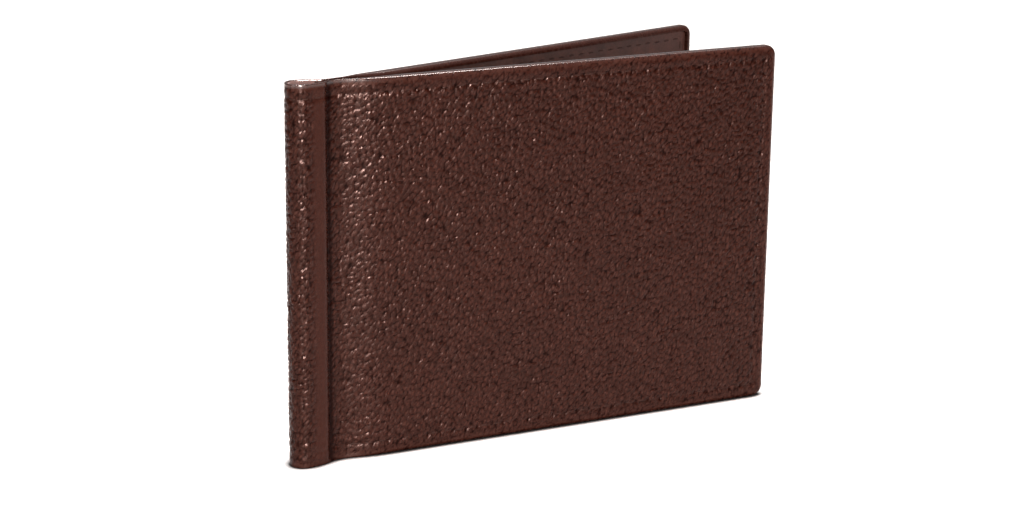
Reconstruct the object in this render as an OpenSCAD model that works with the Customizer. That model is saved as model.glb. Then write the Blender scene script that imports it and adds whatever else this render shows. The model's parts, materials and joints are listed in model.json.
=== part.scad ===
// Bifold leather wallet with a swinging money clip in its fold.
// It stands on its lower edges, a little open, like a book with an upright spine.
// X runs from the spine to the free edges, Y from the front panel to the back panel, Z is up.
// The origin is the middle of the footprint, on the surface that the wallet stands on.

/* [Wallet] */
// Height of the wallet
wallet_h = 80; // [78:1:90]
// Length along a panel, from the outside of the spine to the free edge
wallet_l = 113; // [112:1:124]
// Angle between the two panels as the wallet stands
opening_angle = 15.9; // [15:0.1:24]
// Radius of the free corners
corner_r = 2.4; // [1:0.1:6]

/* [Leather] */
// Thickness of the outer leather on the panels
cover_t = 0.9; // [0.7:0.1:1]
// Thickness of the outer leather round the spine and at the creases, where it is pared down
spine_t = 0.6; // [0.5:0.05:0.6]
// Thickness of the lining leather
lining_t = 0.35; // [0.25:0.05:0.4]
// Thickness of the stiffening board
board_t = 0.5; // [0.3:0.1:0.6]
// Thickness of a panel at its turned edge
edge_t = 2.5; // [2:0.1:2.6]
// Width of the turned edge
edge_w = 1.2; // [0.8:0.1:2]

/* [Spine] */
// Outer radius of the spine's round back
spine_r = 2.95; // [2.8:0.05:3.2]
// Lean of the spine's round back towards the back panel
spine_lean = 0.7; // [0:0.1:0.8]
// Distance of the hinge creases from the outside of the spine
crease_x = 10.4; // [10:0.1:11]
// Distance of each hinge crease from the middle plane
crease_y = 0.95; // [0.9:0.01:1]
// Half the distance between the leather ends that meet at a crease
crease_gap = 0.5; // [0.45:0.05:0.6]
// Length over which a panel rises from its crease to its flat face
shoulder_l = 7; // [5:0.5:8]
// Distance of the flat outer face from the hinge axis
face_offset = 1.1; // [1:0.05:1.2]

/* [Pockets] */
// Distance of the pockets' inner edge from the crease
pocket_start = 13.6; // [13:0.2:14]
// Thickness of a pocket sheet
pocket_t = 0.4; // [0.3:0.05:0.4]
// Height of the slip pocket's mouth
slip_top = 60; // [50:1:66]
// Height of the upper card pocket's mouth
card_top = 66; // [60:1:68]
// Step from one card pocket's mouth to the next
card_step = 13; // [10:1:16]

/* [Clip] */
// Distance from the clip's pivot to the middle of its bar
clip_reach = 9; // [8:0.1:9.2]
// Radius of the clip's wire
wire_r = 0.45; // [0.35:0.05:0.45]
// Height of the lower leg of the clip
clip_low = 17; // [14:1:24]
// Width of the flat bar on the wire
bar_w = 3.4; // [2.4:0.2:3.6]
// Thickness of the flat bar
bar_t = 1.2; // [1:0.05:1.2]
// Sideways set of the bar, which leans towards the back panel
bar_set = 0.3; // [0.2:0.05:0.4]

/* [Stitching] */
// Distance of the seam from the edges
seam_inset = 3; // [2.5:0.1:4]
// Distance from one stitch to the next
stitch_pitch = 3; // [2.5:0.1:4]
// Length of a stitch that shows
stitch_l = 2.2; // [1.5:0.1:2.3]
// Width of the thread
thread_w = 0.45; // [0.3:0.05:0.6]
// Height of the thread above the leather
thread_h = 0.2; // [0.1:0.05:0.3]

/* [Hidden] */
$fn = 64;
e = 0.01;

// Panels: each is drawn with its crease's hinge axis at the origin, X along the panel and
// Y towards the inside of the wallet.
half_angle = opening_angle / 2;
end_r = spine_t / 2;
panel_l = wallet_l - crease_x * cos(half_angle) - crease_y * sin(half_angle);
shoulder_start = 2 * crease_gap;
shoulder_end = shoulder_start + shoulder_l;
shoulder_steps = 10;
board_start = 10;
board_skive = 1.5;
lining_start = 3.7;
edge_start = 3;
edge_full = 16;
inner_l = panel_l - edge_w;

// The wallet's box, which places the origin
free_end = crease_x + panel_l * cos(half_angle) + (edge_t - face_offset) * sin(half_angle);
box_mid = (free_end - thread_h) / 2;

// Spine: a round back whose sides run straight to the two creases. A side's normal
// comes from the tangent between the back's circle and the leather's rounded end.
// flip is 1 on the back panel's side and -1 on the front panel's.
end_x = crease_x - crease_gap;
function end_from_mid(flip) = [end_x - spine_r, crease_y - flip * spine_lean];
function side_normal(flip) = let (run = end_from_mid(flip))
    atan2(run[1], run[0]) + acos((spine_r - end_r) / norm(run));
function side_l(flip) = sqrt(pow(norm(end_from_mid(flip)), 2) - pow(spine_r - end_r, 2));

// Clip hardware
bore_r = 0.27;
stub_r = 0.22;
knuckle_r = 0.55;
knuckle_l = 4;
knuckle_gap = 0.15;
bend_r = 1.5;
clip_high = wallet_h - clip_low;
plate_t = 0.8;
plate_x = 2.4;
plate_end = 9;
plate_margin = 7;
rivet_x = 3.2;
rivet_r = 0.6;
rivet_head_r = 1;
rivet_head_t = 0.35;
spacer_r = 0.9;
// Room between glued or riveted layers, and how far a cut runs past the faces it goes through
fit_gap = 0.04;
cut = 1;
// How far the wire's stub stops short in its knuckle and runs into the leg, and the bar stops short
stub_short = 0.5;
stub_root = 0.1;
bar_short = 1;
rivet_zs = [for (k = [1:3]) wallet_h * k / 4];
// Half the room inside the lined spine, over the far rim of a rivet's head
lined_r = spine_r - spine_t - lining_t;
lined_half = sqrt(pow(lined_r, 2) - pow(rivet_x + rivet_r - spine_r, 2)) - fit_gap;
// Overlap of the spine's round back and its sides, and how far its lining stops short of the fold
join = 0.3;
lining_short = 2;

// Smooth step from 0 to 1
function ease(t) = t <= 0 ? 0 : t >= 1 ? 1 : (1 - cos(180 * t)) / 2;
function rise(u) = ease((u - shoulder_start) / shoulder_l);
// Outer face of a panel at distance u from its crease, and the leather's thickness there
function outer_y(u) = -end_r - (face_offset - end_r) * rise(u);
function leather_t(u) = spine_t + (cover_t - spine_t) * rise(u);
function inner_y(u) = outer_y(u) + leather_t(u);
// Distances from the crease at which the shoulder's curve is drawn
shoulder_us = [for (k = [0:shoulder_steps]) shoulder_start + shoulder_l * k / shoulder_steps];
leather_y = cover_t - face_offset;
board_y = leather_y + board_t;
lining_y = board_y + lining_t;
edge_y = edge_t - face_offset;

// A point at a distance along the spine's side and a depth below its outside, on one side
function side_pt(along, depth, flip) = let (n = side_normal(flip))
    [spine_r + (spine_r - depth) * cos(n) + along * sin(n),
     spine_lean + flip * ((spine_r - depth) * sin(n) - along * cos(n))];

// Placing: the wallet's own frame, then the two panels in it
module in_wallet() {
    translate([-box_mid, 0, 0]) children();
}
module front_panel() {
    in_wallet() translate([crease_x, -crease_y, 0]) rotate([0, 0, -half_angle]) children();
}
module back_panel() {
    mirror([0, 1, 0]) front_panel() children();
}

// An upright rectangle with rounded free corners, as deep as a panel
module panel_outline(inset, from_u) {
    r = corner_r - min(inset, corner_r - e);
    top = wallet_h - inset;
    far = panel_l - inset;
    rotate([90, 0, 0]) translate([0, 0, -2 * edge_t]) linear_extrude(4 * edge_t) {
        translate([from_u, inset]) square([far - r - from_u, top - inset]);
        translate([far - r - e, inset + r]) square([r + e, top - inset - 2 * r]);
        translate([far - r, inset + r]) circle(r);
        translate([far - r, top - r]) circle(r);
    }
}

// Layers of a panel
module cover() {
    intersection() {
        panel_outline(0, -1);
        union() {
            translate([crease_gap, 0, 0]) cylinder(h = wallet_h, r = end_r);
            linear_extrude(wallet_h) polygon(concat(
                [[crease_gap, -end_r]],
                [for (u = shoulder_us) [u, outer_y(u)]],
                [[panel_l, -face_offset], [panel_l, leather_y]],
                [for (k = [0:shoulder_steps]) let (u = shoulder_us[shoulder_steps - k]) [u, inner_y(u)]],
                [[crease_gap, end_r]]));
            for (z = [0, wallet_h - edge_w]) translate([0, 0, z]) turned_edge();
            translate([inner_l, leather_y - e, 0]) cube([edge_w, edge_y - leather_y + e, wallet_h]);
        }
    }
}
module turned_edge() {
    linear_extrude(edge_w) polygon(concat(
        [for (u = shoulder_us) if (u > edge_start) [u, inner_y(u) - e]],
        [[panel_l, leather_y - e], [panel_l, edge_y], [edge_full, edge_y],
         [edge_start, inner_y(edge_start) - e]]));
}
module board() {
    intersection() {
        panel_outline(edge_w, 0);
        linear_extrude(wallet_h) polygon([[board_start, leather_y], [panel_l, leather_y],
            [panel_l, board_y], [board_start + board_skive, board_y]]);
    }
}
module lining() {
    intersection() {
        panel_outline(edge_w, 0);
        linear_extrude(wallet_h) polygon(concat(
            [for (u = shoulder_us) if (u > lining_start) [u, inner_y(u)]],
            [[board_start, leather_y], [board_start + board_skive, board_y], [panel_l, board_y],
             [panel_l, lining_y], [board_start + board_skive, lining_y],
             [board_start, leather_y + lining_t]],
            [for (k = [0:shoulder_steps]) let (u = shoulder_us[shoulder_steps - k])
                if (u > lining_start) [u, inner_y(u) + lining_t]]));
    }
}
module pocket(top, layer) {
    intersection() {
        panel_outline(edge_w, pocket_start);
        translate([pocket_start, lining_y + layer * pocket_t, 0]) cube([panel_l, pocket_t, top]);
    }
}

// One stitch lying along X
module stitch() {
    translate([-stitch_l / 2, 0, -thread_w / 2]) cube([stitch_l, thread_h, thread_w]);
}
// How many pocket sheets lie under a point at height z, from the heights of their mouths
function sheets_at(z, mouths) = len([for (mouth = mouths) if (z < mouth) 1]);
// A panel's seam on one face, which climbs over the pockets
module panel_seam(from_u, mouths) {
    far = panel_l - seam_inset;
    count = floor((far - stitch_pitch - from_u) / stitch_pitch);
    rows = floor((wallet_h - 2 * seam_inset) / stitch_pitch) - 1;
    for (k = [0:count], z = [seam_inset, wallet_h - seam_inset])
        translate([far - stitch_pitch * (k + 0.5), pocket_t * sheets_at(z, mouths), z]) stitch();
    for (k = [0:rows]) {
        z = wallet_h / 2 + stitch_pitch * (k - rows / 2);
        translate([far, pocket_t * sheets_at(z - stitch_l / 2, mouths), z]) rotate([0, 90, 0]) stitch();
    }
}
module panel_stitching(mouths) {
    translate([0, -face_offset - thread_h, 0]) panel_seam(shoulder_end, []);
    translate([0, lining_y, 0]) panel_seam(pocket_start, mouths);
}

// Spine
// Wall of the spine that starts at a depth below its outside, up to a distance from its ends
module spine_wall(depth, thick, short) {
    linear_extrude(wallet_h) {
        difference() {
            translate([spine_r, spine_lean]) circle(spine_r - depth);
            translate([spine_r, spine_lean]) circle(spine_r - depth - thick);
            polygon([[spine_r + join, spine_lean], side_pt(join, -spine_r, 1), [3 * spine_r, 0],
                     side_pt(join, -spine_r, -1)]);
        }
        for (flip = [1, -1])
            polygon([side_pt(0, depth, flip), side_pt(side_l(flip) - short, depth, flip),
                     side_pt(side_l(flip) - short, depth + thick, flip),
                     side_pt(0, depth + thick, flip)]);
    }
}

module spine_cover() {
    color([0.30, 0.20, 0.17]) in_wallet() {
        spine_wall(0, spine_t, 0);
        for (side = [1, -1]) translate([end_x, side * crease_y, 0]) cylinder(h = wallet_h, r = end_r);
    }
}
module spine_lining() {
    color([0.36, 0.17, 0.11]) in_wallet()
        spine_wall(spine_t + fit_gap, lining_t - fit_gap, lining_short);
}
module spine_stitching() {
    nose_step = 360 * stitch_pitch / (2 * PI * spine_r);
    nose_arc = 360 * stitch_l / (2 * PI * spine_r);
    color([0.22, 0.13, 0.10]) in_wallet() for (z = [seam_inset, wallet_h - seam_inset]) {
        for (k = [-1:1])
            translate([spine_r, spine_lean, z - thread_w / 2])
                rotate([0, 0, 180 + k * nose_step - nose_arc / 2])
                    rotate_extrude(angle = nose_arc) translate([spine_r, 0]) square([thread_h, thread_w]);
        for (flip = [1, -1], k = [0:1])
            translate(concat(side_pt(stitch_pitch * (k + 0.5), 0, flip), z))
                mirror([0, (1 - flip) / 2, 0]) rotate([0, 0, side_normal(flip) - 90]) stitch();
    }
}

// Metal strip inside the spine. Its two knuckles stand in the fold and hold the clip's ends.
module base_plate() {
    color("silver") in_wallet() difference() {
        union() {
            translate([plate_x, -plate_t / 2, plate_margin])
                cube([plate_end - plate_x, plate_t, wallet_h - 2 * plate_margin]);
            for (z = knuckle_zs()) {
                translate([plate_end - e, -plate_t / 2, z])
                    cube([crease_x - plate_end, plate_t, knuckle_l]);
                translate([crease_x, 0, z]) cylinder(h = knuckle_l, r = knuckle_r);
            }
        }
        for (z = knuckle_zs()) translate([crease_x, 0, z - cut])
            cylinder(h = knuckle_l + 2 * cut, r = bore_r);
        for (z = rivet_zs) translate([rivet_x, 0, z]) rotate([90, 0, 0])
            cylinder(h = 2 * plate_t, r = rivet_r, center = true);
    }
}
function knuckle_zs() = [clip_low - wire_r - knuckle_gap - knuckle_l, clip_high + wire_r + knuckle_gap];
module plate_spacers() {
    color([0.6, 0.6, 0.6]) in_wallet() for (z = rivet_zs, flip = [1, -1])
        mirror([0, (1 - flip) / 2, 0]) translate([rivet_x, plate_t / 2, z]) rotate([-90, 0, 0])
            difference() {
                cylinder(h = lined_half + flip * spine_lean - rivet_head_t - plate_t / 2, r = spacer_r);
                translate([0, 0, -cut]) cylinder(h = 2 * spine_r, r = rivet_r);
            }
}
module plate_rivets() {
    color("gainsboro") in_wallet() for (z = rivet_zs)
    translate([rivet_x, spine_lean, z]) rotate([90, 0, 0]) {
        cylinder(h = 2 * lined_half - 2 * e, r = rivet_r, center = true);
        for (side = [0, 1]) mirror([0, 0, side]) translate([0, 0, lined_half - rivet_head_t])
            cylinder(h = rivet_head_t, r1 = rivet_head_r, r2 = rivet_r);
    }
}

// Money clip: one bent wire and the flat bar on it, drawn from its pivot
module at_clip() {
    in_wallet() translate([crease_x, 0, 0]) rotate([0, 0, asin(bar_set / clip_reach)]) children();
}
module clip_bail() {
    color("silver") at_clip() {
        translate([clip_reach, 0, clip_low + bend_r])
            cylinder(h = clip_high - clip_low - 2 * bend_r, r = wire_r);
        clip_leg();
        translate([0, 0, wallet_h]) mirror([0, 0, 1]) clip_leg();
    }
}
module clip_leg() {
    translate([0, 0, clip_low]) rotate([0, 90, 0]) cylinder(h = clip_reach - bend_r, r = wire_r);
    translate([clip_reach - bend_r, 0, clip_low + bend_r]) rotate([90, 90, 0])
        rotate_extrude(angle = 90) translate([bend_r, 0]) circle(wire_r);
    translate([0, 0, clip_low - wire_r]) cylinder(h = 2 * wire_r, r = wire_r);
    translate([0, 0, clip_low - wire_r - knuckle_gap - knuckle_l + stub_short])
        cylinder(h = knuckle_l + knuckle_gap - stub_short + stub_root, r = stub_r);
}
module clip_bar() {
    bar_l = clip_high - clip_low - 2 * (bend_r + bar_short);
    round_x = bar_w / 2 - bar_t / 2;
    color("gainsboro") at_clip() translate([clip_reach, 0, clip_low + bend_r + bar_short])
    difference() {
        linear_extrude(bar_l) {
            square([2 * round_x, bar_t], center = true);
            for (side = [-1, 1]) translate([side * round_x, 0]) circle(bar_t / 2);
        }
        translate([0, 0, -cut]) cylinder(h = bar_l + 2 * cut, r = wire_r);
    }
}

// The panels' pieces
module front_cover() {
    color([0.27, 0.16, 0.13]) front_panel() cover();
}
module front_board() {
    color([0.72, 0.65, 0.52]) front_panel() board();
}
module front_lining() {
    color([0.30, 0.19, 0.16]) front_panel() lining();
}
module front_slip_pocket() {
    color([0.34, 0.22, 0.18]) front_panel() pocket(slip_top, 0);
}
module front_stitching() {
    color([0.22, 0.13, 0.10]) front_panel() panel_stitching([slip_top]);
}
module back_cover() {
    color([0.27, 0.16, 0.13]) back_panel() cover();
}
module back_board() {
    color([0.72, 0.65, 0.52]) back_panel() board();
}
module back_lining() {
    color([0.30, 0.19, 0.16]) back_panel() lining();
}
module back_card_pocket_upper() {
    color([0.34, 0.22, 0.18]) back_panel() pocket(card_top, 0);
}
module back_card_pocket_lower() {
    color([0.38, 0.25, 0.20]) back_panel() pocket(card_top - card_step, 1);
}
module back_stitching() {
    color([0.22, 0.13, 0.10]) back_panel() panel_stitching([card_top, card_top - card_step]);
}

spine_cover();
spine_lining();
spine_stitching();
base_plate();
plate_spacers();
plate_rivets();
clip_bail();
clip_bar();
front_cover();
front_board();
front_lining();
front_slip_pocket();
front_stitching();
back_cover();
back_board();
back_lining();
back_card_pocket_upper();
back_card_pocket_lower();
back_stitching();
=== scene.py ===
import math

import bpy
import numpy as np
from mathutils import Matrix, Vector
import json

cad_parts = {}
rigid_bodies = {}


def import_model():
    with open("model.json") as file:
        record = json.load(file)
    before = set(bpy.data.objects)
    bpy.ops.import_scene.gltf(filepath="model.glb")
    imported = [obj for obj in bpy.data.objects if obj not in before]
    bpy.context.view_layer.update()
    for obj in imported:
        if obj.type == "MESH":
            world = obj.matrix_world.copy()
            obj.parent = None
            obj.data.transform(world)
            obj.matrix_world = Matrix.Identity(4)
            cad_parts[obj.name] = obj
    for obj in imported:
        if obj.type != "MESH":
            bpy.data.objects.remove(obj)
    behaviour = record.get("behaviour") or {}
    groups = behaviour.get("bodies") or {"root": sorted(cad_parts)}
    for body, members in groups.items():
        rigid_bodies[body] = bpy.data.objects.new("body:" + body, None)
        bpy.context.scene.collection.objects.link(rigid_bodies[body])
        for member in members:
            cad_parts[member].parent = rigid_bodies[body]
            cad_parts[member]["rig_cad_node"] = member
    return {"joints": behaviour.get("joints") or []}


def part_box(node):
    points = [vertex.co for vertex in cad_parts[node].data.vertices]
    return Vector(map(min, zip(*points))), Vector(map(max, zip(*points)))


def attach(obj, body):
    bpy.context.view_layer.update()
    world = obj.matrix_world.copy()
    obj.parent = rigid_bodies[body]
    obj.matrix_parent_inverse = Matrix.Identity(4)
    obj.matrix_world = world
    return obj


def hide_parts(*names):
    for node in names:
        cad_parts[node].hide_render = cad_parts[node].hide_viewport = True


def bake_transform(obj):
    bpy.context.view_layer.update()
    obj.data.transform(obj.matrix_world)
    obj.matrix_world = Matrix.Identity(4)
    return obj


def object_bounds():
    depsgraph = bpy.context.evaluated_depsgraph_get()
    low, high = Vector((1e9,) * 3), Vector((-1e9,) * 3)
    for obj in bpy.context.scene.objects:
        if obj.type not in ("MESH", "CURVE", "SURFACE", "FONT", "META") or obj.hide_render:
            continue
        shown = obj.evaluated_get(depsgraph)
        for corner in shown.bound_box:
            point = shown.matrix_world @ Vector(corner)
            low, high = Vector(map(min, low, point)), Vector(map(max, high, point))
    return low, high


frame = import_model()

cad_low, cad_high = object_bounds()

# ---------------------------------------------------------------------------
# Sizes, in millimetres unless a name says otherwise
# ---------------------------------------------------------------------------
MM = 0.001
HALF_ANGLE = math.radians(7.95)      # each panel's angle from the middle plane
FACE_OFFSET = 1.1                    # a panel's flat outer face, from its hinge axis
SPINE_R, SPINE_LEAN = 2.95, 0.7      # the spine's round back
SEAM_INSET, STITCH_PITCH, STITCH_L = 3.0, 3.0, 2.35
THREAD_R = 0.24
CORNER_R = 2.4
EDGE_T, EDGE_W = 2.5, 1.25           # the turned edge round a panel
LEATHER_T = 0.9                      # the outer leather over the flat of a panel
BOARD_T, LINING_T, POCKET_T = 0.5, 0.32, 0.38
GLUE_T, SHEET_GAP = 0.03, 0.02       # under the lining, and between loose sheets
PANEL_GAP = 0.08                     # from the turned edge to the sheets inside it
POCKET_START = 13.6                  # where the pockets begin, from the hinge
GRID = 0.325                         # mesh step on the grained leather
SHEET_STEP = 1.2                     # mesh step on the linings and pockets
GRAIN_LEAN = math.radians(118)       # the way the grain's pebbles lie
PEBBLE_W, PEBBLE_L = 0.8, 1.9        # one pebble across and along that way
SHOULDER = 13.5                      # from the crease to where a panel is flat
SPINE_LINING_DEPTHS = 0.62, 0.92     # the spine lining's two faces, below the outside
THREAD_DEPTH = 0.15                  # how far the seam's thread lies below the outside
CLIP_LEG_Z = 17.0                    # the clip's legs, from the bottom and from the top
WARM_SHEEN = (1.0, 0.73, 0.66, 1.0)

joints = {j["name"]: j for j in frame["joints"]}
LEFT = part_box("spine_cover")[0].x / MM              # X of the outside of the spine
HEIGHT = cad_high.z / MM
CREASE_X = joints["front_hinge"]["pos_m"][0] / MM - LEFT
CREASE_Y = joints["back_hinge"]["pos_m"][1] / MM
# The outer corner of a panel's free end gives the panel's length
PANEL_L = (-cad_low.y / MM - CREASE_Y - FACE_OFFSET * math.cos(HALF_ANGLE)) / math.sin(HALF_ANGLE)


# ---------------------------------------------------------------------------
# Small tools
# ---------------------------------------------------------------------------
def smooth(x, low, high):
    """0 below low, 1 above high, and a smooth step between them."""
    t = np.clip((np.asarray(x, float) - low) / (high - low), 0, 1)
    return t * t * (3 - 2 * t)


def bell(x, middle, width):
    return np.exp(-(((np.asarray(x, float) - middle) / width) ** 2))


TABLE = 256
rng = np.random.default_rng(7)
random_table = rng.random((TABLE, TABLE, 4))


def value_noise(a, b, scale, layer=0):
    """Smooth noise from -1 to 1 with bumps about scale across."""
    a, b = np.asarray(a, float) / scale, np.asarray(b, float) / scale
    ia, ib = np.floor(a).astype(int), np.floor(b).astype(int)
    fa, fb = a - ia, b - ib
    fa, fb = fa * fa * (3 - 2 * fa), fb * fb * (3 - 2 * fb)
    v = random_table[:, :, layer]
    at = lambda i, j: v[(ia + i) % TABLE, (ib + j) % TABLE]
    low = at(0, 0) * (1 - fa) + at(1, 0) * fa
    high = at(0, 1) * (1 - fa) + at(1, 1) * fa
    return 2 * (low * (1 - fb) + high * fb) - 1


def pebbles(a, b):
    """Pebble grain: 0 in the furrows and near 1 on the pebbles."""
    a = np.asarray(a, float) + 0.35 * value_noise(a, b, 2.2, 1)
    b = np.asarray(b, float) + 0.35 * value_noise(a, b, 2.6, 2)
    p = (a * math.cos(GRAIN_LEAN) + b * math.sin(GRAIN_LEAN)) / PEBBLE_L
    q = (-a * math.sin(GRAIN_LEAN) + b * math.cos(GRAIN_LEAN)) / PEBBLE_W
    ip, iq = np.floor(p).astype(int), np.floor(q).astype(int)
    first, second = np.full(p.shape, 9.0), np.full(p.shape, 9.0)
    lift = np.zeros(p.shape)
    for i in (-1, 0, 1):
        for j in (-2, -1, 0, 1, 2):
            cell = random_table[(ip + i) % TABLE, (iq + j) % TABLE]
            d = np.hypot(PEBBLE_L * (ip + i + 0.1 + 0.8 * cell[..., 0] - p),
                         PEBBLE_W * (iq + j + 0.1 + 0.8 * cell[..., 1] - q))
            nearer = d < first
            second = np.where(nearer, first, np.minimum(second, d))
            lift = np.where(nearer, cell[..., 2], lift)
            first = np.where(nearer, d, first)
    return smooth(second - first, 0.0, 0.38) * (0.72 + 0.28 * lift)


# ---------------------------------------------------------------------------
# The outside of the leather in plan: one smooth line from free end to free end
# ---------------------------------------------------------------------------
def arc(x, y, r, start, end, steps):
    turns = np.radians(np.linspace(start, end, steps))
    return np.stack([x + r * np.cos(turns), y + r * np.sin(turns)], 1)


def plane_at(x):
    """Distance of a panel's flat outer face from the middle plane."""
    return CREASE_Y + FACE_OFFSET / math.cos(HALF_ANGLE) + math.tan(HALF_ANGLE) * (x - CREASE_X)


free_x = CREASE_X + PANEL_L * math.cos(HALF_ANGLE) - FACE_OFFSET * math.sin(HALF_ANGLE)


def side_line(dips, sign):
    """The flat face from near the crease to the free end, after the crease's own points."""
    flat = [(x, plane_at(x)) for x in np.linspace(CREASE_X + SHOULDER, free_x, 60)]
    return np.array([(CREASE_X + x, sign * y) for x, y in dips] + [(x, sign * y) for x, y in flat])


# The dip at each crease: distance past the crease, and distance from the middle plane
front_dips = [(-3.2, 1.92), (-2.1, 1.16), (-1.1, 0.93), (0.0, 0.87), (0.9, 0.97), (2.0, 1.27),
              (4.2, 1.98), (6.3, 2.67), (8.4, 3.15), (10.5, 3.51), (12.5, 3.80)]
back_dips = [(-3.1, 2.1), (-1.9, 1.36), (-1.0, 1.14), (0.0, 1.06), (1.1, 1.14), (2.6, 1.38),
             (4.5, 1.88), (6.5, 2.62), (8.6, 3.14), (10.6, 3.52), (12.5, 3.80)]
front_line = np.vstack([arc(SPINE_R, SPINE_LEAN, SPINE_R, 180, 279, 40), side_line(front_dips, -1)])
back_line = np.vstack([arc(SPINE_R, SPINE_LEAN, SPINE_R, 180, 68, 40), side_line(back_dips, 1)])


def resample(line, step):
    """The same line with points an even step apart."""
    run = np.concatenate([[0], np.cumsum(np.hypot(*np.diff(line, axis=0).T))])
    at = np.linspace(0, run[-1], max(2, round(run[-1] / step)))
    return np.stack([np.interp(at, run, line[:, k]) for k in (0, 1)], 1)


def soften(line, step, sigma):
    """Rounds the line's corners, and leaves its two ends where they are."""
    reach = int(4 * sigma / step)
    weights = np.exp(-0.5 * (np.arange(-reach, reach + 1) * step / sigma) ** 2)
    weights /= weights.sum()
    before = 2 * line[0] - line[reach:0:-1]
    after = 2 * line[-1] - line[-2:-reach - 2:-1]
    long = np.vstack([before, line, after])
    return np.stack([np.convolve(long[:, k], weights, "valid") for k in (0, 1)], 1)


FINE = 0.04
whole = soften(resample(np.vstack([front_line[:0:-1], back_line]), FINE), FINE, 0.45)
nose = int(np.argmin(whole[:, 0]))


class Side:
    """One half of the outline: s runs from the spine's outermost line to the free end."""

    def __init__(self, name, points, sign):
        self.name, self.sign, self.points = name, sign, points
        steps = np.hypot(*np.diff(points, axis=0).T)
        self.run = np.concatenate([[0], np.cumsum(steps)])
        self.length = self.run[-1]
        self.hinge = float(np.interp(CREASE_X, points[:, 0], self.run))
        tangent = np.gradient(points, self.run, axis=0)
        tangent /= np.linalg.norm(tangent, axis=1)[:, None]
        self.normal = np.stack([-sign * tangent[:, 1], sign * tangent[:, 0]], 1)

    def place(self, s, z, depth):
        """Points in metres, at distance s along the outline, height z and depth below the outside."""
        s, z, depth = np.broadcast_arrays(*(np.asarray(v, float) for v in (s, z, depth)))
        xy = [np.interp(s, self.run, self.points[:, k]) - depth * np.interp(s, self.run, self.normal[:, k])
              for k in (0, 1)]
        return np.stack([(LEFT + xy[0]) * MM, xy[1] * MM, z * MM], -1)


front = Side("front", whole[nose::-1], -1)
back = Side("back", whole[nose:], 1)


# Depths below the outside, at a distance u past the crease
def wall(u):
    """Thickness of the outer leather."""
    return 0.55 - 0.25 * smooth(u, -2.5, -0.7) + 0.3 * smooth(u, 0.8, 3.5) + 0.3 * smooth(u, 4, 8)


def edge_thickness(u):
    """Thickness of the turned edge round a panel."""
    return wall(u) + (EDGE_T - wall(u)) * smooth(u, 3, 16)


def lining_depth(u):
    """Outer side of a panel's lining, which lies on the leather and then on the board."""
    return wall(u) + GLUE_T + BOARD_T * smooth(u, 9, 11.5)


# ---------------------------------------------------------------------------
# Relief of the outer leather
# ---------------------------------------------------------------------------
def seam_distance(s, z, side):
    """Distance from the seam line, which runs round a half at the seam's inset."""
    across = np.abs(np.minimum(z, HEIGHT - z) - SEAM_INSET)
    past = np.maximum(s - (side.length - SEAM_INSET), 0)
    rows = np.hypot(across, past)
    inside = np.maximum(SEAM_INSET - np.minimum(z, HEIGHT - z), 0)
    column = np.hypot(np.abs(side.length - SEAM_INSET - s), inside)
    return np.minimum(rows, column)


def edge_distance(s, z, side):
    """Distance from the half's nearest edge."""
    return np.minimum(np.minimum(z, HEIGHT - z), side.length - s)


def hole_mark(s, z, side):
    """1 at the middle of each needle hole and 0 away from it."""
    first, last = side.hinge + 2, side.length - SEAM_INSET
    mark = 0 * s
    for length, along, across, inside in (
            (last - first, s - first, np.abs(np.minimum(z, HEIGHT - z) - SEAM_INSET), s < last + 1),
            (HEIGHT - 2 * SEAM_INSET, z - SEAM_INSET, np.abs(s - last), s > last - 1)):
        pitch = length / round(length / STITCH_PITCH)
        off = np.abs(along / pitch - np.round(along / pitch)) * pitch
        reach = (along > -1) & (along < length + 1) & inside
        mark = np.maximum(mark, np.where(reach, bell(np.hypot(off, across), 0, 0.42), 0))
    return mark


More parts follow.
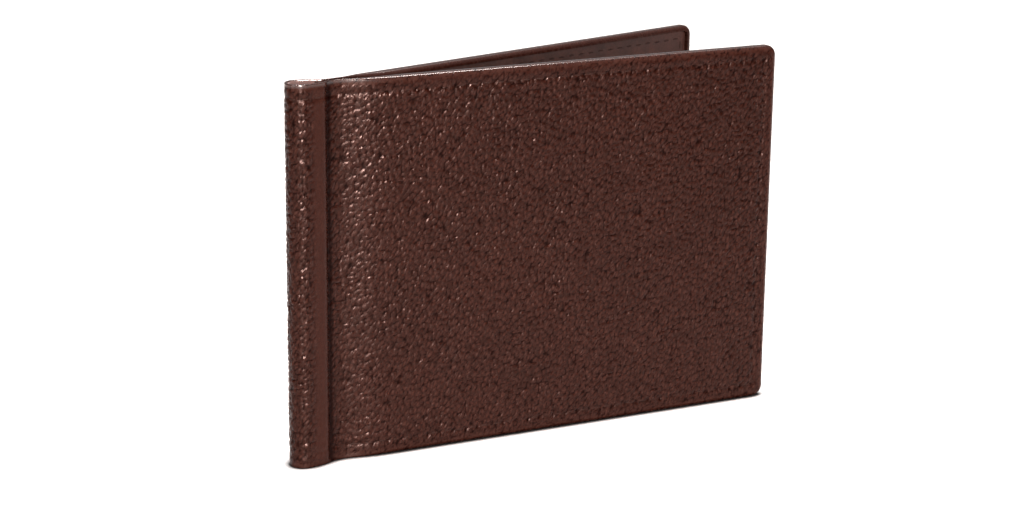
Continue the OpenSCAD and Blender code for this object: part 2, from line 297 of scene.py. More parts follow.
def relief(s, z, side):
    """How far the surface stands out, the grain's height there from 0 to 1 with painted shade in the
    crease and the needle holes, and how plain it is.
    """
    u = s - side.hinge
    a = side.sign * s
    grain_and_shade = pebbles(a, z)
    edge = edge_distance(s, z, side)
    height = 0.20 + 0.03 * value_noise(a, z, 9, 3) + 0.05 * smooth(-u, 5.5, 7.5)
    # The grain is pressed flat between the seam and the edge, on the spine's sides and in the crease
    height = height * (0.35 + 0.65 * smooth(edge, 2.2, 4.2)) * smooth(edge, 0.0, 1.2)
    height = height * (1 - 0.93 * smooth(u, -6.6, -5.4) * smooth(-u, 1.6, 2.6))
    out = height * (grain_and_shade - 0.6)
    out = out + 0.05 * value_noise(a, z, 6.5) * smooth(edge, 0, 3)
    # The crease is wider and further from the spine at the bottom, and wrinkled there
    low = smooth(-z, -22, 0)
    out = out - 0.2 * low * bell(u, 2.0, 1.5) - 0.2 * bell(u, -2.2, 0.5)
    # The spine's inner side and the crease are plain, and painted shade darkens the colour along a narrow
    # line down the crease
    band = smooth(u, -7.4, -5.2) * smooth(-u, 2.3, 3.3)
    grain_and_shade = grain_and_shade + (0.36 - grain_and_shade) * band
    plain = np.maximum(0.7 * band, 1 - smooth(edge, 0.8, 1.7))
    grain_and_shade = grain_and_shade * (1 - 0.97 * bell(u, -1.9, 0.95))
    # Painted shade: the colour is darkened at each needle hole, which is also pressed in a little
    holes = hole_mark(s, z, side)
    grain_and_shade = grain_and_shade * (1 - 0.95 * holes)
    out = out - 0.18 * holes
    wrinkle = np.sin((z + 0.9 * u + 1.5 * value_noise(a, z, 5, 1)) * 2 * math.pi / 3.1)
    out = out + 0.13 * low * wrinkle * bell(u, 0.2, 2.0) * smooth(edge, 0.5, 3)
    # Fine bright folds on the shoulder beside the crease
    fold = np.sin((u + 0.25 * z + 1.2 * value_noise(a, z, 4, 2)) * 2 * math.pi / 1.7)
    out = out + 0.035 * fold * bell(u, 4.2, 2.8) * smooth(edge, 0.5, 3)
    # The thread draws the leather down along the seam
    out = out - 0.09 * bell(seam_distance(s, z, side), 0, 0.45)
    out = out + 0.03 * bell(seam_distance(s, z, side), 1.2, 0.6) * smooth(edge, 0, 1.5)
    return out * smooth(edge, 0.3, 1.3), grain_and_shade, plain


# ---------------------------------------------------------------------------
# Mesh building
# ---------------------------------------------------------------------------
def mesh_object(name, points, faces, material, uv=None, attributes=None, sharp_angle=None):
    mesh = bpy.data.meshes.new(name)
    mesh.from_pydata([tuple(p) for p in points], [], [list(f) for f in faces])
    mesh.materials.append(material)
    mesh.shade_smooth()
    if uv is not None:
        layer = mesh.uv_layers.new(name="surface")
        corner = np.zeros(len(mesh.loops), np.int32)
        mesh.loops.foreach_get("vertex_index", corner)
        layer.data.foreach_set("uv", np.asarray(uv, np.float32)[corner].ravel())
    for key, values in (attributes or {}).items():
        mesh.attributes.new(key, "FLOAT", "POINT").data.foreach_set(
            "value", np.asarray(values, np.float32))
    if sharp_angle is not None:
        mesh.set_sharp_from_angle(angle=math.radians(sharp_angle))
    mesh.validate()
    obj = bpy.data.objects.new(name, mesh)
    bpy.context.scene.collection.objects.link(obj)
    return obj


def strip(first, second, flip=False):
    """Quads between two rows of vertex numbers."""
    out = []
    for a, b, c, d in zip(first[:-1], first[1:], second[1:], second[:-1]):
        if len({a, b, c, d}) > 2:
            quad = [v for k, v in enumerate((a, b, c, d)) if v not in (a, b, c, d)[:k]]
            out.append(quad[::-1] if flip else quad)
    return out


def slab(name, side, s_range, z_range, corner, outer, thickness, rim, step, material,
         lift=None, flange=None):
    """A closed sheet over part of a side. outer and thickness are functions of s; rim is the
    radius of its rounded edges. lift adds relief to the outer face. flange is the width of a
    thicker turned edge, and the sheet's thickness inside it."""
    s_low, s_high = s_range
    z_low, z_high = z_range
    mids = np.linspace(s_low, s_high - corner, max(2, round((s_high - corner - s_low) / step)))
    mids = np.insert(mids, 1, s_low + 0.03)
    turn = np.radians(np.linspace(0, 90, 13))[1:]
    rows = max(2, round((z_high - z_low) / step))
    share = np.linspace(0, 1, rows + 1)
    columns = len(mids) + len(turn)
    points, uvs, grain_and_shade_values, plains = [], [], [], []

    def add(s, z, depth, grain_and_shade=0.7, plain=0.6):
        start = len(points)
        s, z, depth, grain_and_shade, plain = (v.ravel() for v in np.broadcast_arrays(
            *(np.asarray(v, float) for v in (s, z, depth, grain_and_shade, plain))))
        points.extend(side.place(s, z, depth))
        uvs.extend(np.stack([side.sign * s, z], 1) / 100)
        grain_and_shade_values.extend(grain_and_shade)
        plains.extend(plain)
        return np.arange(start, start + len(s))

    def ring(inset):
        """The top edge drawn in by inset, as (s, z), from the lowest s to the free end."""
        inset_mid = np.broadcast_to(inset(mids), mids.shape)
        inset_turn = np.broadcast_to(inset(np.full(turn.shape, s_high)), turn.shape)
        r = corner - inset_turn
        s = np.concatenate([mids, s_high - corner + r * np.sin(turn)])
        z = np.concatenate([z_high - inset_mid, z_high - corner + r * np.cos(turn)])
        return s, z

    def low_of(z):
        return z_low + z_high - z

    def loop(inset, depth, relief_too=False):
        s, z = ring(inset)
        low = low_of(z)
        end_z = (low[-1] + (z[-1] - low[-1]) * share[::-1])[1:-1]
        loop_s = np.concatenate([s, np.full(rows - 1, s[-1]), s[::-1]])
        loop_z = np.concatenate([z, end_z, low[::-1]])
        d = np.broadcast_to(depth(loop_s), loop_s.shape)
        if relief_too and lift is not None:
            out, grain_and_shade, plain = lift(loop_s, loop_z)
            return add(loop_s, loop_z, d - out, grain_and_shade, plain)
        return add(loop_s, loop_z, d)

    first_s, first_z = ring(rim)
    low = low_of(first_z)
    zz = low[:, None] + (first_z - low)[:, None] * share[None, :]
    ss = np.repeat(first_s[:, None], rows + 1, 1)
    depth, grain_and_shade, plain = np.broadcast_to(outer(ss), ss.shape), 0.7, 0.6
    if lift is not None:
        out, grain_and_shade, plain = lift(ss, zz)
        depth = depth - out
    grid = add(ss, zz, depth, grain_and_shade, plain).reshape(columns, rows + 1)
    loops = [np.concatenate([grid[:, -1], grid[-1, ::-1][1:-1], grid[::-1, 0]])]
    for angle in (25, 50, 75):
        w = math.radians(angle)
        loops.append(loop(lambda v: rim(v) * (1 - math.sin(w)),
                          lambda v: outer(v) + rim(v) * (1 - math.cos(w)), True))
    for angle in (75, 50, 25, 0):
        w = math.radians(angle)
        loops.append(loop(lambda v: rim(v) * (1 - math.sin(w)),
                          lambda v: outer(v) + thickness(v) - rim(v) * (1 - math.cos(w))))
    if flange is not None:
        width, inner = flange
        loops.append(loop(lambda v: width + 0 * v, lambda v: outer(v) + thickness(v)))
        loops.append(loop(lambda v: width + 0.05 + 0 * v, lambda v: outer(v) + inner(v)))
    flip = side.sign > 0
    faces = []
    for k in range(columns - 1):
        faces += strip(grid[k], grid[k + 1], flip)
    for first, second in zip(loops[:-1], loops[1:]):
        faces += strip(first, second, flip)
    last = loops[-1]
    top, bottom = last[:columns], last[-columns:][::-1]
    faces += strip(top[:-1], bottom[:-1], flip)
    closing = [top[-2], top[-1], *last[columns:-columns], bottom[-1], bottom[-2]]
    faces.append(closing[::-1] if flip else closing)
    cap = [*grid[0, ::-1], *[l[-1] for l in loops[1:]], *[l[0] for l in loops[:0:-1]]]
    faces.append(cap if flip else cap[::-1])
    at_s, at_z = np.abs(np.array(uvs).T * 100)
    edge = np.minimum(np.minimum(at_z - z_low, z_high - at_z), s_high - at_s)
    marks = {"grain_and_shade": grain_and_shade_values, "plain": plains,
             "rim": (1 - smooth(edge, 0.25, 0.9)) * smooth(at_z, 2, 12)}
    return mesh_object(name, points, faces, material, uvs, marks, 50)


# ---------------------------------------------------------------------------
# Thread
# ---------------------------------------------------------------------------
def seam_path(side, s_start):
    """Stitch ends (s, z) along the seam: the top row, the end and the bottom row."""
    end = side.length - SEAM_INSET
    legs = [((s_start, HEIGHT - SEAM_INSET), (end, HEIGHT - SEAM_INSET)),
            ((end, HEIGHT - SEAM_INSET), (end, SEAM_INSET)),
            ((end, SEAM_INSET), (s_start, SEAM_INSET))]
    pairs = []
    for (s0, z0), (s1, z1) in legs:
        length = math.hypot(s1 - s0, z1 - z0)
        count = round(length / STITCH_PITCH)
        gap = 0.5 * (1 - STITCH_L / STITCH_PITCH)
        for k in range(count):
            t0, t1 = (k + gap) / count, (k + 1 - gap) / count
            pairs.append(((s0 + (s1 - s0) * t0, z0 + (z1 - z0) * t0),
                          (s0 + (s1 - s0) * t1, z0 + (z1 - z0) * t1)))
    return pairs


def stitches(name, side, pairs, depth_of, inward, material):
    """Short lengths of two-ply thread that dive into the leather at both ends."""
    rings, sides = 9, 10
    points, faces = [], []
    for n, ((s0, z0), (s1, z1)) in enumerate(pairs):
        start = len(points)
        t = np.linspace(0, 1, rings)
        swell = np.sin(math.pi * t) ** 0.6
        wobble = 0.05 * math.sin(n * 2.4)
        s, z = s0 + (s1 - s0) * t + wobble * swell, z0 + (z1 - z0) * t - wobble * swell
        along = np.array([s1 - s0, z1 - z0]) / math.hypot(s1 - s0, z1 - z0)
        centre = depth_of(s, z) + inward * (0.11 * swell - 0.2)
        for j in range(rings):
            turns = np.linspace(0, 2 * math.pi, sides, endpoint=False)
            ply = 1 + 0.13 * np.cos(2 * turns - 4.6 * math.pi * t[j])
            r = THREAD_R * ply * (0.35 + 0.65 * swell[j])
            across = r * np.cos(turns)
            points.extend(side.place(s[j] - along[1] * across, z[j] + along[0] * across,
                                     centre[j] + r * 0.85 * np.sin(turns)))
        for j in range(rings - 1):
            a = start + j * sides + np.arange(sides)
            b = a + sides
            one, two = np.append(a, a[0]), np.append(b, b[0])
            faces += strip(one, two, side.sign > 0)
        ends = [start + np.arange(sides), start + (rings - 1) * sides + np.arange(sides)]
        faces.append(list(ends[0]) if side.sign > 0 else list(ends[0][::-1]))
        faces.append(list(ends[1][::-1]) if side.sign > 0 else list(ends[1]))
    return mesh_object(name, points, faces, material)


def extrusion(name, outer, inner, z_low, z_high, material):
    """A closed upright strip between two plan curves, in millimetres, with rounded long edges."""
    rows, rim = 40, 0.1
    middle = [(a + b) / 2 for a, b in zip(outer, inner)]
    share = np.linspace(0, 1, rows + 1)
    levels = z_low + rim + (z_high - z_low - 2 * rim) * share
    points, rings = [], []

    def add(line, z):
        start = len(points)
        points.extend([((LEFT + x) * MM, y * MM, z * MM) for x, y in line])
        rings.append(np.arange(start, start + len(line)))

    for z in levels:
        add(outer, z)
    add([(o * 0.7 + m * 0.3) for o, m in zip(outer, middle)], z_high - 0.02)
    add([(i * 0.7 + m * 0.3) for i, m in zip(inner, middle)], z_high - 0.02)
    for z in levels[::-1]:
        add(inner, z)
    add([(i * 0.7 + m * 0.3) for i, m in zip(inner, middle)], z_low + 0.02)
    add([(o * 0.7 + m * 0.3) for o, m in zip(outer, middle)], z_low + 0.02)
    faces = []
    for first, second in zip(rings, rings[1:] + rings[:1]):
        faces += strip(first, second)
    for end in (0, -1):
        cap = [int(r[end]) for r in rings]
        faces.append(cap if end == 0 else cap[::-1])
    uv = [(p[0] * 10, p[2] * 10) for p in points]
    return mesh_object(name, points, faces, material, uv, None, 50)


def tube(name, path, radius, material):
    """A round wire along a path of points, in millimetres, with domed ends."""
    sides = 24
    path = np.asarray(path, float)
    ahead = np.gradient(path, axis=0)
    ahead /= np.linalg.norm(ahead, axis=1)[:, None]
    aside = np.array([math.sin(CLIP_LEAN), -math.cos(CLIP_LEAN), 0.0])
    turns = np.linspace(0, 2 * math.pi, sides, endpoint=False)
    points, faces = [], []
    for p, d in zip(path, ahead):
        other = np.cross(d, aside)
        other /= np.linalg.norm(other)
        for t in turns:
            points.append((p + radius * (math.cos(t) * aside + math.sin(t) * other)) * MM)
    for k in range(len(path) - 1):
        a = k * sides + np.arange(sides)
        faces += strip(np.append(a, a[0]), np.append(a + sides, a[0] + sides), True)
    last = (len(path) - 1) * sides
    for start, back_way, p, d in ((0, -1, path[0], ahead[0]), (last, 1, path[-1], ahead[-1])):
        tip = len(points)
        points.append((p + d * back_way * radius * 0.3) * MM)
        for k in range(sides):
            pair = (start + k, start + (k + 1) % sides)
            faces.append((*pair, tip) if back_way > 0 else (*pair[::-1], tip))
    return mesh_object(name, points, faces, material, None, None, 50)


# ---------------------------------------------------------------------------
# Materials
# ---------------------------------------------------------------------------
def linear(colour):
    """sRGB from 0 to 255 as linear RGBA."""
    parts = [c / 255 for c in colour]
    return (*[c / 12.92 if c < 0.04045 else ((c + 0.055) / 1.055) ** 2.4 for c in parts], 1.0)


class Paint:
    """A node material with a few short ways to add nodes."""

    def __init__(self, name, roughness, metallic=0.0):
        self.material = bpy.data.materials.new(name)
        self.material.use_nodes = True
        self.tree = self.material.node_tree
        self.shader = self.tree.nodes["Principled BSDF"]
        self.shader.inputs["Roughness"].default_value = roughness
        self.shader.inputs["Metallic"].default_value = metallic
        self.place = None

    def node(self, kind, **values):
        n = self.tree.nodes.new(kind)
        for key, value in values.items():
            if hasattr(n, key):
                setattr(n, key, value)
            else:
                n.inputs[key].default_value = value
        return n

    def link(self, source, target):
        self.tree.links.new(source, target)

    def millimetres(self, from_uv):
        """Coordinates in millimetres, from the leather's own surface or from the object."""
        if from_uv:
            at = self.node("ShaderNodeUVMap", uv_map="surface").outputs["UV"]
            factor = 100.0
        else:
            at = self.node("ShaderNodeTexCoord").outputs["Object"]
            factor = 1 / MM
        move = self.node("ShaderNodeMapping")
        move.inputs["Scale"].default_value = (factor, factor, factor)
        self.link(at, move.inputs["Vector"])
        self.place = move.outputs["Vector"]
        return self.place

    def noise(self, scale, detail=3.0, stretch=None):
        at = self.place
        if stretch is not None:
            move = self.node("ShaderNodeMapping")
            move.inputs["Scale"].default_value = stretch
            self.link(at, move.inputs["Vector"])
            at = move.outputs["Vector"]
        n = self.node("ShaderNodeTexNoise")
        n.inputs["Scale"].default_value = scale
        n.inputs["Detail"].default_value = detail
        self.link(at, n.inputs["Vector"])
        return n.outputs["Fac"]

    def cells(self, scale):
        n = self.node("ShaderNodeTexVoronoi")
        n.feature = "DISTANCE_TO_EDGE"
        n.inputs["Scale"].default_value = scale
        self.link(self.place, n.inputs["Vector"])
        return n.outputs["Distance"]

    def furrows(self, lean, along, across):
        """Distance from the edges of cells that are longer along lean."""
        turn = self.node("ShaderNodeMapping")
        turn.inputs["Rotation"].default_value = (0, 0, -lean)
        self.link(self.place, turn.inputs["Vector"])
        size = self.node("ShaderNodeMapping")
        size.inputs["Scale"].default_value = (1 / along, 1 / across, 1)
        self.link(turn.outputs["Vector"], size.inputs["Vector"])
        n = self.node("ShaderNodeTexVoronoi")
        n.feature = "DISTANCE_TO_EDGE"
        n.inputs["Scale"].default_value = 1.0
        self.link(size.outputs["Vector"], n.inputs["Vector"])
        return n.outputs["Distance"]

    def less(self, height, plain):
        """height where the surface is grained, and a level 1 where it is plain."""
        n = self.node("ShaderNodeMix", data_type="FLOAT")
        self.link(plain, n.inputs[0])
        self.link(height, n.inputs[2])
        n.inputs[3].default_value = 1.0
        return n.outputs[0]

    def ramp(self, source, stops):
        n = self.node("ShaderNodeValToRGB")
        elements = n.color_ramp.elements
        while len(elements) < len(stops):
            elements.new(0.5)
        for element, (at, colour) in zip(elements, stops):
            element.position = at
            element.color = colour if len(colour) == 4 else linear(colour)
        self.link(source, n.inputs["Fac"])
        return n.outputs["Color"]

    def span(self, source, low, high, to_low, to_high):
        n = self.node("ShaderNodeMapRange")
        for key, value in zip(("From Min", "From Max", "To Min", "To Max"), (low, high, to_low, to_high)):
            n.inputs[key].default_value = value
        self.link(source, n.inputs["Value"])
        return n.outputs["Result"]

    def mix(self, share, first, second, kind="MIX"):
        n = self.node("ShaderNodeMix", data_type="RGBA", blend_type=kind)
        for k, value in ((0, share), (6, first), (7, second)):
            if isinstance(value, (int, float, tuple)):
                n.inputs[k].default_value = value
            else:
                self.link(value, n.inputs[k])
        return n.outputs[2]

    def bump(self, *layers):
        """Each layer is (height, strength, distance in mm)."""
        normal = None
        for height, strength, distance in layers:
            n = self.node("ShaderNodeBump")
            n.inputs["Strength"].default_value = strength
            n.inputs["Distance"].default_value = distance * MM
            self.link(height, n.inputs["Height"])
            if normal is not None:
                self.link(normal, n.inputs["Normal"])
            normal = n.outputs["Normal"]
        self.link(normal, self.shader.inputs["Normal"])

    def colour(self, source):
        self.link(source, self.shader.inputs["Base Color"])

    def rough(self, source):
        self.link(source, self.shader.inputs["Roughness"])


def grained_leather():
    p = Paint("dark brown pebbled leather", 0.45)
    p.millimetres(True)
    grain_and_shade = p.node("ShaderNodeAttribute", attribute_name="grain_and_shade").outputs["Fac"]
    plain = p.node("ShaderNodeAttribute", attribute_name="plain").outputs["Fac"]
    furrow = p.less(p.span(p.furrows(GRAIN_LEAN, 1.7, 0.75), 0.0, 0.34, 0.0, 1.0), plain)
    base = p.ramp(furrow, [(0.0, (32, 8, 2)), (0.4, (44, 16, 9)), (1.0, (55, 28, 21))])
    # The grain's furrows are darker, and the same attribute carries painted shade in the crease and the
    # needle holes
    low = p.ramp(grain_and_shade, [(0.0, (125, 90, 84)), (0.35, (238, 232, 230)), (1.0, (255, 255, 255))])
    cloudy = p.ramp(p.noise(0.05, 3), [(0.3, (240, 238, 236)), (0.7, (255, 255, 255))])
    fine = p.ramp(p.noise(2.2, 3), [(0.3, (225, 220, 216)), (0.65, (255, 255, 255))])
    p.colour(p.mix(1.0, p.mix(1.0, p.mix(1.0, base, low, "MULTIPLY"), cloudy, "MULTIPLY"),
                   fine, "MULTIPLY"))
    p.rough(p.span(p.noise(0.8, 2), 0.3, 0.7, 0.20, 0.34))
    p.bump((furrow, 0.5, 0.07), (p.less(p.noise(1.8, 2, (1.0, 0.6, 1.0)), plain), 0.3, 0.07))
    rim = p.node("ShaderNodeAttribute", attribute_name="rim").outputs["Fac"]
    p.link(p.span(rim, 0, 1, 0, 0.75), p.shader.inputs["Coat Weight"])
    p.shader.inputs["Coat Roughness"].default_value = 0.14
    p.shader.inputs["Coat IOR"].default_value = 1.6
    p.link(p.span(grain_and_shade, 0.0, 0.5, 0.03, 0.12), p.shader.inputs["Specular IOR Level"])
    p.shader.inputs["Specular Tint"].default_value = WARM_SHEEN
    return p.material


def smooth_leather(name, dark, light, grain_scale=1.6, roughness=0.5):
    """Finer, flatter leather for pockets and linings."""
    p = Paint(name, roughness)
    p.millimetres(True)
    base = p.ramp(p.noise(0.25, 5), [(0.3, dark), (0.7, light)])
    pores = p.ramp(p.cells(grain_scale), [(0.0, (185, 175, 170)), (0.12, (255, 255, 255))])
    p.colour(p.mix(0.7, base, pores, "MULTIPLY"))
    p.rough(p.span(p.noise(0.8, 3), 0.3, 0.7, roughness - 0.06, roughness + 0.1))
    p.bump((p.cells(grain_scale), 0.4, 0.04), (p.noise(5, 3), 0.4, 0.03))
    p.shader.inputs["Specular IOR Level"].default_value = 0.2
    return p.material


def suede(name, dark, light):
    """Napped leather with a soft sheen."""
    p = Paint(name, 0.85)
    p.millimetres(True)
    p.colour(p.ramp(p.noise(1.3, 6), [(0.3, dark), (0.7, light)]))
    p.bump((p.noise(6, 5), 0.8, 0.08))
    p.shader.inputs["Sheen Weight"].default_value = 0.25
    return p.material


def thread_paint():
    p = Paint("dark brown waxed thread", 0.7)
    p.millimetres(False)
    p.colour(p.ramp(p.noise(3.0, 3), [(0.3, (22, 8, 5)), (0.7, (44, 20, 14))]))
    p.bump((p.noise(9, 2, (1.0, 1.0, 3.0)), 0.5, 0.04))
    p.shader.inputs["Specular IOR Level"].default_value = 0.12
    p.shader.inputs["Specular Tint"].default_value = WARM_SHEEN
    return p.material


def card_board():
    p = Paint("grey board", 0.9)
    p.millimetres(False)
    p.colour(p.ramp(p.noise(1.5, 5), [(0.3, (118, 106, 92)), (0.7, (150, 138, 122))]))
    p.bump((p.noise(4, 4), 0.5, 0.05))
    return p.material


def metal(name, tint, roughness, brush=(1.0, 1.0, 0.05)):
    """Metal with fine scratches along the way that brush is small."""
    p = Paint(name, roughness, 1.0)
    p.millimetres(False)
    scratches = p.noise(9.0, 4, brush)
    p.colour(p.mix(p.span(scratches, 0.3, 0.7, 0.0, 0.5), linear(tint),
                   linear(tuple(c * 0.85 for c in tint))))
    p.rough(p.span(p.noise(0.5, 3), 0.3, 0.7, roughness - 0.06, roughness + 0.12))
    p.bump((scratches, 0.15, 0.01))
    return p.material


OUTER = grained_leather()
LINING = smooth_leather("brown lining leather", (50, 22, 14), (68, 34, 25), 1.1, 0.5)
POCKET = smooth_leather("brown pocket leather", (54, 25, 17), (72, 37, 28), 0.9, 0.46)
SPINE_SUEDE = suede("red brown suede", (62, 24, 15), (92, 42, 28))
THREAD = thread_paint()
BOARD = card_board()
NICKEL = metal("nickel plated clip", (205, 203, 198), 0.22)
STEEL = metal("spring steel plate", (150, 150, 152), 0.38, (1.0, 1.0, 0.08))
RIVET = metal("rivet metal", (176, 168, 150), 0.3, (1.0, 1.0, 1.0))


# ---------------------------------------------------------------------------
# The wallet's pieces
# ---------------------------------------------------------------------------
bodies = {front: "front_panel", back: "back_panel"}


def crosses_hinge(obj):
    """Bakes the leather's place into its mesh, where it runs from the spine over the crease to the panel;
    it is attached to no body.
    """
    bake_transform(obj)


def outer_leather(side, *nodes):
    """The grained leather of one half: half the spine and one panel with its turned edge."""
    at = lambda s: s - side.hinge
    thick = lambda s: edge_thickness(at(s))
    rim = lambda s: np.minimum(0.42 * thick(s), 0.85)
    obj = slab("outer_leather_" + side.name, side, (0, side.length), (0, HEIGHT), CORNER_R,
               lambda s: 0 * s, thick, rim, GRID, OUTER,
               lambda s, z: relief(s, z, side), (EDGE_W, lambda s: wall(at(s))))
    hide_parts(*nodes)
    crosses_hinge(obj)


def panel_sheet(name, side, start, top, depth, thickness, material, node):
    """A lining or pocket sheet inside a panel's turned edge, given by its own depth function."""
    gap = EDGE_W + PANEL_GAP
    obj = slab(name, side, (side.hinge + start, side.length - gap), (gap, top), 1.2,
               lambda s: depth(s - side.hinge), lambda s: 0 * s + thickness,
               lambda s: 0 * s + 0.4 * thickness, SHEET_STEP, material)
    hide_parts(node)
    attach(obj, bodies[side])


def pocket_depth(layer):
    """Outer side of a pocket, where layer 0 lies on the lining and layer 1 on that."""
    base = GLUE_T + BOARD_T + LEATHER_T + LINING_T
    return lambda u: 0 * u + base + SHEET_GAP + layer * (POCKET_T + SHEET_GAP)


outer_leather(front, "front_cover", "spine_cover")
outer_leather(back, "back_cover")
inner_top = HEIGHT - EDGE_W - PANEL_GAP
FRONT_TOP, UPPER_TOP, LOWER_TOP = (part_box(n)[1].z / MM for n in (
    "front_slip_pocket", "back_card_pocket_upper", "back_card_pocket_lower"))
panel_sheet("front_lining", front, 4.0, inner_top, lining_depth, LINING_T, LINING,
            "front_lining")
panel_sheet("back_lining", back, 4.0, inner_top, lining_depth, LINING_T, LINING,
            "back_lining")
panel_sheet("slip_pocket", front, POCKET_START, FRONT_TOP, pocket_depth(0), POCKET_T, POCKET,
            "front_slip_pocket")
panel_sheet("card_pocket_upper", back, POCKET_START, UPPER_TOP, pocket_depth(0), POCKET_T, POCKET,
            "back_card_pocket_upper")
panel_sheet("card_pocket_lower", back, POCKET_START, LOWER_TOP, pocket_depth(1), POCKET_T, POCKET,
            "back_card_pocket_lower")


def spine_lining():
    """The suede tube inside the spine, open at its top and bottom."""
    lines = []
    for depth in SPINE_LINING_DEPTHS:
        parts = []
        for side in (front, back):
            s = np.linspace(0, side.hinge - 3.4, 24)
            at = side.place(s, 0, depth)[:, :2] / MM - np.array([LEFT, 0])
            parts.append(at)
        lines.append(np.vstack([parts[0][:0:-1], parts[1]]))
    obj = extrusion("spine_lining_tube", list(lines[0]), list(lines[1]), 0.15, HEIGHT - 0.15, SPINE_SUEDE)
    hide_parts("spine_lining")
    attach(obj, "spine")


spine_lining()


def outside_depth():
    """Depth of the thread's middle on the outside, where the seam has drawn the leather down."""
    return lambda s, z: THREAD_DEPTH + 0 * s


def inside_depth(side, layers):
    """Depth of the innermost sheet at a point, for layers of (top height, sheet number)."""
    def depth(s, z):
        u = s - side.hinge
        d = lining_depth(u) + LINING_T
        for top, layer in layers:
            over = (z < top) & (u > POCKET_START)
            d = np.where(over, pocket_depth(layer)(u) + POCKET_T, d)
        return d
    return depth


def sew():
    """Thread on both faces of each panel, and on the spine."""
    for side, layers, node in ((front, [(FRONT_TOP, 0)], "front_stitching"),
                               (back, [(UPPER_TOP, 0), (LOWER_TOP, 1)], "back_stitching")):
        outside = stitches(side.name + "_thread_outside", side, seam_path(side, side.hinge + 2),
                           outside_depth(), -1, THREAD)
        inside = stitches(side.name + "_thread_inside", side, seam_path(side, side.hinge + 5),
                          inside_depth(side, layers), 1, THREAD)
        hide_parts(node)
        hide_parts(node)
        for obj in (outside, inside):
            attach(obj, bodies[side])
        count = int((side.hinge - 2) / STITCH_PITCH)
        pairs = []
        for z in (SEAM_INSET, HEIGHT - SEAM_INSET):
            for k in range(count):
                s = 0.35 + k * STITCH_PITCH
                pairs.append(((s, z), (s + STITCH_L, z)))
        spine = stitches("spine_thread_" + side.name, side, pairs, outside_depth(), -1, THREAD)
        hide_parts("spine_stitching")
        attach(spine, "spine")


sew()

# ---------------------------------------------------------------------------
# The clip and the metal in the spine
# ---------------------------------------------------------------------------
clip_pivot = joints["clip_swing"]["pos_m"]
bar_low, bar_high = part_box("clip_bar")
bail_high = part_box("clip_bail")[1]
WIRE_R = 0.45
BAR_W, BAR_T = 3.4, 1.2
BEND_R = 1.5
clip_reach = ((bail_high.x - clip_pivot[0]) / MM) - WIRE_R
CLIP_LEAN = math.atan2((bar_low.y + bar_high.y) / 2 - clip_pivot[1],
                       (bar_low.x + bar_high.x) / 2 - clip_pivot[0])


def clip_point(along, z):
    """A point in the clip's own plane, at a distance along from its pivot."""
    return np.array([clip_pivot[0] / MM + along * math.cos(CLIP_LEAN),
                     clip_pivot[1] / MM + along * math.sin(CLIP_LEAN), z])


def bail():
    """One bent wire: two legs into the knuckles and the bar between them."""
    low, high = CLIP_LEG_Z, HEIGHT - CLIP_LEG_Z
    bend = np.radians(np.linspace(0, 90, 10))
    half = [clip_point(t, low) for t in np.linspace(0, clip_reach - BEND_R, 12)]
    half += [clip_point(clip_reach - BEND_R + BEND_R * math.sin(t), low + BEND_R * (1 - math.cos(t)))
             for t in bend[1:]]
    other = [np.array([p[0], p[1], low + high - p[2]]) for p in half[::-1]]
    obj = tube("clip_wire", half + other, WIRE_R, NICKEL)
    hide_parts("clip_bail")
    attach(obj, "clip")


def bar():
    """The flat bar on the wire, with round edges and domed ends."""
    low, high = bar_low.z / MM, bar_high.z / MM
    turns = np.linspace(0, 2 * math.pi, 48, endpoint=False)
    core = BAR_W / 2 - BAR_T / 2
    outline = np.stack([np.cos(turns) * BAR_T / 2 + np.sign(np.round(np.cos(turns), 6)) * core,
                        np.sin(turns) * BAR_T / 2], 1)
    dome = np.radians(np.linspace(0, 75, 6))
    inset = 0.5
    levels = [(low + inset * (1 - math.sin(t)), 1 - inset * (1 - math.cos(t)) / (BAR_T / 2))
              for t in dome[::-1]]
    levels += [(high - (z - low), share) for z, share in levels[::-1]]
    points, faces = [], []
    across = clip_point(1, 0) - clip_point(0, 0)
    aside = np.array([-across[1], across[0], 0])
    centre = clip_point(clip_reach, 0)
    for z, share in levels:
        for a, b in outline:
            edge = (abs(a) - core) * share + core if abs(a) > core else abs(a)
            p = centre + across * math.copysign(edge, a) + aside * b * share
            points.append((p[0] * MM, p[1] * MM, z * MM))
    n = len(outline)
    for k in range(len(levels) - 1):
        a = k * n + np.arange(n)
        faces += strip(np.append(a, a[0]), np.append(a + n, a[0] + n))
    faces.append(list(range(n))[::-1])
    faces.append([len(points) - n + k for k in range(n)])
    obj = mesh_object("clip_flat_bar", points, faces, NICKEL, None, None, 40)
    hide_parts("clip_bar")
    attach(obj, "clip")


bail()
bar()


def paint_node(name, material):
    """A CAD node that is shown as it is, with this material."""
    for obj in bpy.context.scene.objects:
        if obj.get("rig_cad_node") == name:
            obj.data.materials.clear()
            obj.data.materials.append(material)


for name, material in (("front_board", BOARD), ("back_board", BOARD), ("base_plate", STEEL),
                       ("plate_spacers", RIVET), ("plate_rivets", RIVET)):
    paint_node(name, material)


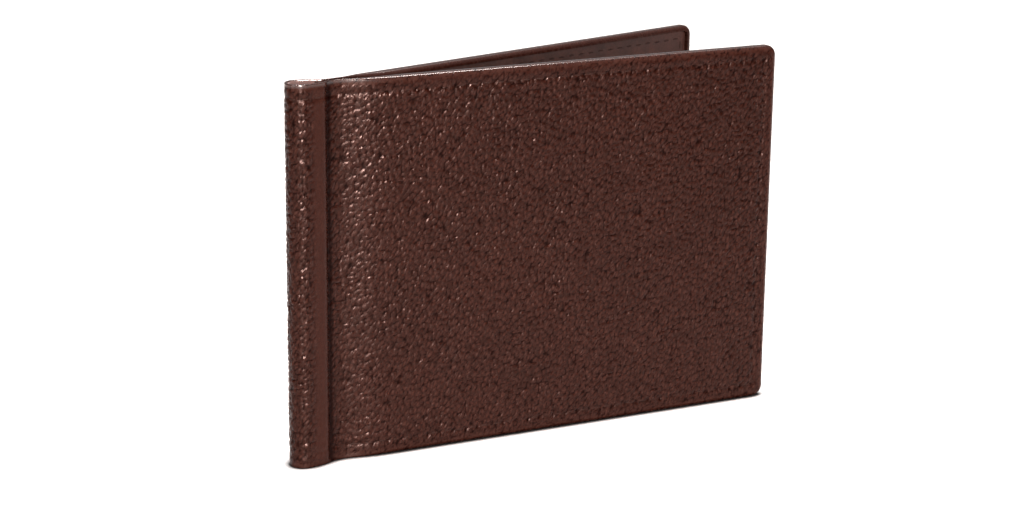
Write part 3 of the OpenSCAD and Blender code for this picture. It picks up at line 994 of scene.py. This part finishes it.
# ---------------------------------------------------------------------------
# Floor, light and camera
# ---------------------------------------------------------------------------
def floor():
    """A pale floor with a painted contact shadow: its colour and glow are darkened where the wallet stands
    on it.
    """
    mesh = bpy.data.meshes.new("floor")
    r = 3.0
    mesh.from_pydata([(-r, -r, 0), (r, -r, 0), (r, r, 0), (-r, r, 0)], [], [(0, 1, 2, 3)])
    paint = Paint("pale floor", 0.6)
    # Painted contact shadow: ambient occlusion darkens the floor's colour and its glow next to the wallet
    contact = paint.node("ShaderNodeAmbientOcclusion", samples=16)
    contact.inputs["Distance"].default_value = 0.003
    pale_with_painted_shadow = paint.ramp(contact.outputs["AO"], [(0.55, (20, 18, 18)), (0.9, (247, 247, 247))])
    paint.colour(pale_with_painted_shadow)
    paint.link(pale_with_painted_shadow, paint.shader.inputs["Emission Color"])
    paint.shader.inputs["Emission Strength"].default_value = 0.05
    paint.shader.inputs["Specular IOR Level"].default_value = 0.2
    mesh.materials.append(paint.material)
    obj = bpy.data.objects.new("floor", mesh)
    bpy.context.scene.collection.objects.link(obj)


def area_light(name, place, size, watts, target=(0.0, 0.0, 0.04)):
    data = bpy.data.lights.new(name, "AREA")
    data.shape = "RECTANGLE"
    data.size, data.size_y = size
    data.energy = watts
    obj = bpy.data.objects.new(name, data)
    obj.location = place
    obj.rotation_euler = (Vector(target) - Vector(place)).to_track_quat("-Z", "Y").to_euler()
    bpy.context.scene.collection.objects.link(obj)
    return obj


def lights():
    world = bpy.data.worlds.new("studio")
    bpy.context.scene.world = world
    world.use_nodes = True
    tree = world.node_tree
    soft = tree.nodes["Background"]
    soft.inputs["Color"].default_value = (1, 1, 1, 1)
    soft.inputs["Strength"].default_value = 0.32
    seen = tree.nodes.new("ShaderNodeBackground")
    seen.inputs["Strength"].default_value = 1.0
    seen.inputs["Color"].default_value = (1, 1, 1, 1)
    mixed = tree.nodes.new("ShaderNodeMixShader")
    path = tree.nodes.new("ShaderNodeLightPath")
    tree.links.new(path.outputs["Is Camera Ray"], mixed.inputs[0])
    tree.links.new(soft.outputs[0], mixed.inputs[1])
    tree.links.new(seen.outputs[0], mixed.inputs[2])
    tree.links.new(mixed.outputs[0], tree.nodes["World Output"].inputs["Surface"])
    area_light("key", (-0.29, -0.79, 0.34), (0.1, 0.1), 5.4)
    glint = area_light("glint", (-0.29, -0.79, 0.31), (0.32, 0.32), 52.0)
    glint.data.color = (1.0, 0.84, 0.79)
    glint.visible_diffuse = False
    area_light("left", (-0.85, -0.25, 0.3), (0.3, 0.5), 3.2)
    area_light("over", (0.15, 0.25, 1.0), (0.9, 0.9), 4.8)
    strip = area_light("strip", (0.0, -0.05, 0.8), (0.7, 0.05), 12.5)
    strip.data.color = (1.0, 0.87, 0.83)


def camera():
    yaw, pitch, roll = (math.radians(v) for v in (34.51, 15.52, 0.70))
    ahead = Vector((math.sin(yaw) * math.cos(pitch), math.cos(yaw) * math.cos(pitch), -math.sin(pitch)))
    right = Vector((math.cos(yaw), -math.sin(yaw), 0))
    up = right.cross(ahead)
    turned = right * math.cos(roll) + up * math.sin(roll)
    upward = up * math.cos(roll) - right * math.sin(roll)
    data = bpy.data.cameras.new("camera")
    data.lens, data.sensor_width = 81.3, 36.0
    data.shift_y = 0.0012
    data.clip_start, data.clip_end = 0.05, 20.0
    obj = bpy.data.objects.new("camera", data)
    frame_of = Matrix((turned, upward, -ahead)).transposed().to_4x4()
    obj.matrix_world = Matrix.Translation((-0.2718, -0.3923, 0.1691)) @ frame_of
    bpy.context.scene.collection.objects.link(obj)
    bpy.context.scene.camera = obj


floor()
lights()
camera()
bpy.context.scene.view_settings.view_transform = "Standard"
bpy.context.scene.view_settings.look = "None"
